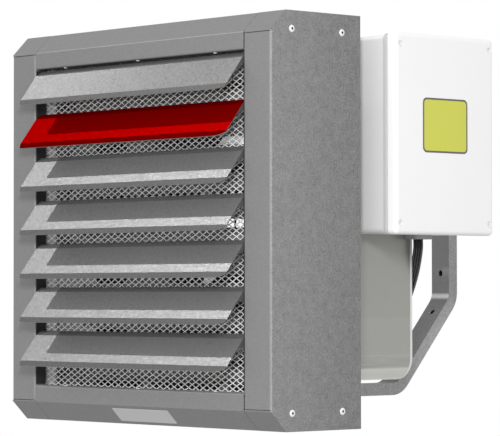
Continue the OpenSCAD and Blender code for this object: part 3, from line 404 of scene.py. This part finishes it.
def heatedSteel(name, c):
    # element tube: faint warm and cool greys in soft bands along the run
    f = Finish(name)
    zone = f.noise(f.stretched(*c["run"]), *c["runNoise"])
    tone = f.add("ShaderNodeValToRGB", {"stops": c["tones"]}, {0: zone})
    fine = f.noise(f.place, *c["fine"])
    return f.set(Base_Color=tone, Metallic=c["metal"], Roughness=c["roughness"] + fine * c["fineShow"])


finishes = {
    "casing": powderCoat("casingPowder", powderGrey),
    "housing": satinSteel("housingSatin", fanHousing),
    "bracket": powderCoat("bracketPowder", bracketPaint),
    "louvre": bladeSheet("louvreSteel", bladeSteel),
    "topLouvre": bladeSheet("topLouvreSteel", topBlade),
    "redLouvre": bladeSheet("redLacquer", redLacquer),
    "zinc": zinc("zincPlate", zincPlate),
    "mesh": wire("galvanisedWire", meshWire),
    "element": heatedSteel("heatedSteel", elementSteel),
    "brass": rolledSteel("brass", brassSheet),
    "box": moulded("boxPlastic", lidPlastic),
    "boxBase": moulded("boxBasePlastic", basePlastic),
    "pale": moulded("palePlastic", palePlastic),
    "rivet": moulded("whiteRivet", rivetWhite),
    "clipRivet": wire("brightRivet", drawnWire),
    "rubber": moulded("blackRubber", rubber),
    "black": moulded("blackPlastic", blackPlastic),
    "grey": moulded("greyPlastic", greyPlastic),
    "lead": wire("leadSheath", leadSheath),
    "cream": moulded("creamPlastic", creamPlastic),
    "plate": rolledSteel("blankPlate", plateSheet),
    "rim": rolledSteel("housingRim", rimSheet),
    "border": moulded("darkFilm", darkFilm),
    "yellow": moulded("yellowFilm", yellowFilm),
    "motor": powderCoat("motorPaint", motorPaint),
    "dullSteel": powderCoat("clipPowder", clipPaint),
    "darkSteel": powderCoat("guardPowder", guardPaint),
}

dressing = {
    "casing": ["side_panel_left", "side_panel_right", "top_panel", "bottom_panel", "rear_frame"],
    "housing": ["fan_housing"],
    "bracket": ["wall_bracket"],
    "topLouvre": ["louvre_1"],
    "louvre": ["louvre_3", "louvre_4", "louvre_5", "louvre_6", "louvre_7"],
    "redLouvre": ["louvre_2"],
    "zinc": ["pivot_bolts", "pivot_nuts", "element_plate_left", "element_plate_right", "housing_screws",
             "inlet_plate", "guard_screws", "motor_screws", "box_fixings", "din_rail"],
    "rivet": ["panel_rivets"],
    "clipRivet": ["clip_rivets"],
    "mesh": ["mesh_front_wires", "mesh_rear_wires"],
    "element": ["heating_elements"],
    "brass": ["element_nuts", "star_bar"],
    "box": ["control_box_lid"],
    "boxBase": ["control_box_back", "control_box_sides", "control_box_ends"],
    "pale": ["lid_screws"],
    "rubber": ["lid_gasket", "lead_grommet"],
    "black": ["pivot_spacers", "bearing_strips", "overheat_thermostat", "impeller", "power_gland"],
    "grey": ["cable_entry_plate"],
    "lead": ["power_leads"],
    "cream": ["contactor", "terminal_block"],
    "motor": ["fan_motor", "rotor_can"],
    "dullSteel": ["mesh_clips"],
    "darkSteel": ["fan_guard", "shaft_circlip"],
}

for finish, names in dressing.items():
    for name in names:
        mesh = nodes[name].data
        mesh.materials.clear()
        mesh.materials.append(finishes[finish])

# painted shade: the hole in the middle of each panel rivet is given the black finish

rivetHole = {"inside": 0.2709, "radius": 0.0021, "backs": (36, 124), "heights": (-244.4, 244.4)}


def darkenHoles(mesh, c):
    mesh.materials.append(finishes["black"])
    spots = [real(0, back, z) for back in c["backs"] for z in c["heights"]]
    for face in mesh.polygons:
        centre = face.center
        reach = min(math.hypot(centre.y - spot.y, centre.z - spot.z) for spot in spots)
        if abs(centre.x) < c["inside"] and reach < c["radius"]:
            face.material_index = 1


darkenHoles(nodes["panel_rivets"].data, rivetHole)
print("finishes given")


# pieces made here: some take the place of a plain solid, the others are added

corners = ((1, 1), (-1, 1), (-1, -1), (1, -1))


def newPiece(name, points, faces, finish, body, smooth=True):
    mesh = bpy.data.meshes.new(name)
    mesh.from_pydata([tuple(p) for p in points], [], faces)
    mesh.validate()
    piece = bpy.data.objects.new(name, mesh)
    scene.collection.objects.link(piece)
    mesh.materials.append(finishes[finish])
    for face in mesh.polygons:
        face.use_smooth = smooth
    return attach(piece, body)


def addTube(points, faces, path, radius, sides):
    # a round wire along the path, closed at both ends
    first = len(points)
    last = len(path) - 1
    side = None
    for i, p in enumerate(path):
        ahead = (path[min(i + 1, last)] - path[max(i - 1, 0)]).normalized()
        if side is None:
            side = ahead.orthogonal().normalized()
        else:
            side = (side - ahead * side.dot(ahead)).normalized()
        up = ahead.cross(side)
        for k in range(sides):
            a = 2 * math.pi * k / sides
            points.append(p + (side * math.cos(a) + up * math.sin(a)) * radius)
    for i in range(last):
        for k in range(sides):
            a = first + i * sides
            faces.append((a + k, a + (k + 1) % sides, a + sides + (k + 1) % sides, a + sides + k))
    faces.append([first + k for k in reversed(range(sides))])
    faces.append([first + last * sides + k for k in range(sides)])


def addBox(points, faces, low, high):
    first = len(points)
    for x in (low.x, high.x):
        for y in (low.y, high.y):
            points.extend((Vector((x, y, low.z)), Vector((x, y, high.z))))
    for face in ((0, 1, 3, 2), (4, 6, 7, 5), (0, 4, 5, 1), (2, 3, 7, 6), (0, 2, 6, 4), (1, 5, 7, 3)):
        faces.append([first + k for k in face])


# woven guard: two families of wavy wires that pass over and under each other, in a flat border

weave = {"width": 439, "height": 441, "border": 1.6, "inset": 1, "thick": 2.2, "back": 19.1,
         "across": 14.6, "down": 7.7, "wire": 0.8, "wave": 0.4, "sides": 5, "steps": 6}


def makeGuard(c):
    points, faces = [], []
    w, h = c["width"] / 2, c["height"] / 2
    innerW, innerH = w - c["inset"], h - c["inset"]
    slope = c["down"] / c["across"]
    reach = int((innerH + innerW * slope) / c["down"]) + 1
    for lean in (-1, 1):
        for k in range(-reach, reach + 1):
            # where this wire enters and leaves the opening
            ends = sorted((-lean * innerH - lean * k * c["down"], lean * innerH - lean * k * c["down"]))
            start, stop = max(-innerW, ends[0] / slope), min(innerW, ends[1] / slope)
            if stop - start < c["down"]:
                continue
            count = max(2, round((stop - start) / c["across"] * c["steps"]))
            path = []
            for i in range(count + 1):
                x = start + (stop - start) * i / count
                rise = lean * c["wave"] * math.cos(2 * math.pi * x / c["across"])
                path.append(real(x, c["back"] + rise, lean * x * slope + k * c["down"]))
            addTube(points, faces, path, c["wire"] / 1000, c["sides"])
    near, far = c["back"] - c["thick"] / 2, c["back"] + c["thick"] / 2
    for z in (-1, 1):
        ends = sorted((z * h, z * (h - c["border"])))
        addBox(points, faces, real(-w, near, ends[0]), real(w, far, ends[1]))
    for x in (-1, 1):
        ends = sorted((x * w, x * (w - c["border"])))
        addBox(points, faces, real(ends[0], near, c["border"] - h), real(ends[1], far, h - c["border"]))
    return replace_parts(newPiece("wovenGuard", points, faces, "mesh", "heater"),
                       "mesh_front_wires", "mesh_rear_wires")


makeGuard(weave)
print("guard woven")


# flat steel edging behind the guard's two upright sides

edging = {"inner": 198, "outer": 219, "front": 20.3, "rear": 21.1, "half": 219}


def makeEdging(c):
    points, faces = [], []
    for left, right in ((-c["outer"], -c["inner"]), (c["inner"], c["outer"])):
        addBox(points, faces, real(left, c["front"], -c["half"]), real(right, c["rear"], c["half"]))
    return newPiece("guardEdging", points, faces, "plate", "heater", smooth=False)


makeEdging(edging)
print("edging added")


# the four leads from the box to the fan, side by side on one smooth line

leadSet = {"count": 4, "step": 4.4, "radius": 2.0, "sides": 14, "finer": 9, "start": (217, 316, -19.7)}
leadLine = [(0, 0, 0), (0, 0, -12), (-3.5, 0.5, -28), (-8.5, 1, -44), (-16, 1.5, -62), (-25.5, 2, -80),
            (-34, 2.5, -98), (-41.5, 3, -113), (-46.3, 3.2, -122), (-48.5, -0.6, -126.4)]


def makeLeads(c, line):
    start = Vector(c["start"])
    line = [Vector(p) for p in line]
    last = len(line) - 1
    sides = []
    for i in range(last + 1):
        j = min(i, last - 2)
        ahead = (line[j + 1] - line[max(j - 1, 0)]).normalized()
        sides.append(Vector((-ahead.z, 0, ahead.x)).normalized())
    points, faces = [], []
    for k in range(c["count"]):
        offset = (k - (c["count"] - 1) / 2) * c["step"]
        knots = [place + side * offset for place, side in zip(line, sides)]
        path = []
        for i in range(last):
            # a smooth curve from here to there, that also minds the knots before and after
            before, after = knots[max(i - 1, 0)], knots[min(i + 2, last)]
            here, there = knots[i], knots[i + 1]
            first = there - before
            second = 2 * before - 5 * here + 4 * there - after
            third = 3 * here - before - 3 * there + after
            steps = c["finer"] + (1 if i == last - 1 else 0)  # the last stretch has its end point too
            for s in range(steps):
                t = s / c["finer"]
                spot = (2 * here + first * t + second * t * t + third * t ** 3) / 2
                path.append(real(*(spot + start)))
        addTube(points, faces, path, c["radius"] / 1000, c["sides"])
    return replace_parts(newPiece("fanLeads", points, faces, "lead", "heater"), "power_leads")


makeLeads(leadSet, leadLine)
print("leads laid")


# hemmed back edge of the fan housing: a thin rim round the rounded square, its light tone a painted highlight
# along the edge
# the section is how far out of the housing's face and how far back each of its corners is

housingHem = {"half": 209, "corner": 30, "steps": 8,
              "section": ((0.4, 308.5), (0.4, 311.9), (0, 312.4), (-1, 312.4), (-1.5, 311.9), (-1.5, 308.5))}


def makeHem(c):
    points, faces = [], []
    flat = c["half"] - c["corner"]
    for k, (sx, sz) in enumerate(corners):
        for i in range(c["steps"] + 1):
            a = math.pi / 2 * (k + i / c["steps"])
            for out, back in c["section"]:
                radius = c["corner"] + out
                points.append(real(sx * flat + math.cos(a) * radius, back, sz * flat + math.sin(a) * radius))
    n = len(c["section"])
    total = len(points)
    for i in range(0, total, n):
        j = (i + n) % total
        faces += [(i + k, j + k, j + (k + 1) % n, i + (k + 1) % n) for k in range(n)]
    return newPiece("housingHem", points, faces, "rim", "heater", smooth=False)


makeHem(housingHem)
print("hem added")


# blank plates: one on the bottom's slanted edge, and a yellow one on a dark one on the box's lid

blankPlate = {"width": 116, "height": 25, "radius": 2.5, "thick": 0.7, "bevel": 0.3, "steps": 6,
              "place": (4, 13, -255), "across": (1, 0, 0), "upward": (0, -0.7071, 0.7071)}
darkPanel = {"width": 84, "height": 72, "radius": 7, "thick": 0.15, "bevel": 0.05, "steps": 6,
             "place": (307, 276.7, 128), "across": (0, 1, 0), "upward": (0, 0, 1)}
yellowPanel = {**darkPanel, "width": 79, "height": 67, "radius": 5, "thick": 0.3, "bevel": 0.08}


def makePlate(name, c, finish):
    across, upward = Vector(c["across"]), Vector(c["upward"])
    out = across.cross(upward)
    centre = real(*c["place"])
    outline = []
    for k, (sx, sy) in enumerate(corners):
        for i in range(c["steps"] + 1):
            a = math.pi / 2 * (k + i / c["steps"])
            x, y = sx * (c["width"] / 2 - c["radius"]), sy * (c["height"] / 2 - c["radius"])
            outline.append((x, y, math.cos(a), math.sin(a)))
    points = []
    shoulder = c["thick"] - c["bevel"]
    rounds = ((c["radius"], 0.0), (c["radius"], shoulder), (c["radius"] - c["bevel"], c["thick"]))
    for radius, rise in rounds:
        for x, y, dx, dy in outline:
            offset = across * (x + dx * radius) + upward * (y + dy * radius) + out * rise
            points.append(centre + offset / 1000)
    n = len(outline)
    faces = [tuple(reversed(range(n))), tuple(range(2 * n, 3 * n))]
    for low in (0, n):
        for i in range(n):
            j = (i + 1) % n
            faces.append((low + i, low + j, low + n + j, low + n + i))
    return newPiece(name, points, faces, finish, "heater", smooth=False)


makePlate("blankPlate", blankPlate, "plate")
makePlate("darkPanel", darkPanel, "border")
makePlate("yellowPanel", yellowPanel, "yellow")
print("plates added")


# studio: white behind the object, a hard gleam from the upper left, a weak lamp in front,
# a small soft light from the right, pale floor

studio = {"fill": 0.5, "fillRise": 0.6, "gloss": 0.3, "behind": (0.15, 0.5), "white": (1, 1, 1, 1)}
gleam = {"toward": (-0.725, -0.18, 0.665), "power": 0.4, "angle": 0.8}
frontLamp = {"toward": (-0.11, -0.99, -0.03), "power": 0.6, "angle": 0.8}
sideLight = {"place": (2.0, -2.2, 0.6), "aim": (0.2, -0.45, 0), "size": 0.4, "power": 36.0}
paleFloor = {"height": -1.25, "size": 14, "tone": (0.5, 0.5, 0.5, 1), "roughness": 0.9,
             "white": (1, 1, 1, 1), "shine": 0.93}


def makeWorld(c):
    world = bpy.data.worlds.new("studio")
    scene.world = world
    world.use_nodes = True
    m = Mixer(world.node_tree)
    m.tree.nodes.clear()
    output = m.tree.nodes.new("ShaderNodeOutputWorld")
    depth, rise = m.parts(m.add("ShaderNodeTexCoord", {}, {}, "Generated"))[1:]
    # what reflections see: dim in front and at the sides, white behind the object
    shine = m.band(depth, *c["behind"], c["gloss"], 1.0)
    fill = c["fill"] * (1.0 + rise * c["fillRise"])
    gloss = m.add("ShaderNodeBackground", {}, {"Color": c["white"], "Strength": shine})
    soft = m.add("ShaderNodeBackground", {}, {"Color": c["white"], "Strength": fill})
    white = m.add("ShaderNodeBackground", {}, {"Color": c["white"], "Strength": 1.0})
    isGloss = m.add("ShaderNodeLightPath", {}, {}, "Is Glossy Ray")
    isCamera = m.add("ShaderNodeLightPath", {}, {}, "Is Camera Ray")
    lit = m.add("ShaderNodeMixShader", {}, {0: isGloss, 1: soft, 2: gloss})
    m.plug(output.inputs["Surface"], m.add("ShaderNodeMixShader", {}, {0: isCamera, 1: lit, 2: white}))


def makeSun(name, c):
    # hard light: makes the louvres gleam and throws their shadows on each other
    data = bpy.data.lights.new(name, "SUN")
    data.energy = c["power"]
    data.angle = math.radians(c["angle"])
    lamp = bpy.data.objects.new(name, data)
    scene.collection.objects.link(lamp)
    lamp.rotation_euler = Vector(c["toward"]).to_track_quat("Z", "Y").to_euler()


def makeSoftLight(name, c):
    data = bpy.data.lights.new(name, "AREA")
    data.energy = c["power"]
    data.size = c["size"]
    lamp = bpy.data.objects.new(name, data)
    scene.collection.objects.link(lamp)
    lamp.location = c["place"]
    lamp.rotation_euler = (Vector(c["aim"]) - Vector(c["place"])).to_track_quat("-Z", "Y").to_euler()


def makeFloor(c):
    # nearly white to the camera, white in reflections, grey in the light that it throws back
    m = Finish("paleFloor")
    isCamera = m.add("ShaderNodeLightPath", {}, {}, "Is Camera Ray")
    isGloss = m.add("ShaderNodeLightPath", {}, {}, "Is Glossy Ray")
    m.set(Base_Color=c["tone"], Roughness=c["roughness"])
    seen = m.add("ShaderNodeEmission", {}, {"Color": c["white"], "Strength": 1.0})
    share = m.sum("MAXIMUM", isCamera * c["shine"], isGloss)
    matt = Wire(m, m.shader.outputs[0])
    m.plug(m.output.inputs["Surface"], m.add("ShaderNodeMixShader", {}, {0: share, 1: matt, 2: seen}))
    bpy.ops.mesh.primitive_plane_add(size=c["size"], location=(0, 0, c["height"]))
    floor = bpy.context.object
    floor.name = "floor"
    floor.data.materials.append(m.material)


makeWorld(studio)
makeSun("gleam", gleam)
makeSun("frontLamp", frontLamp)
makeSoftLight("sideLight", sideLight)
makeFloor(paleFloor)
scene.view_settings.view_transform = "Standard"
print("studio ready")
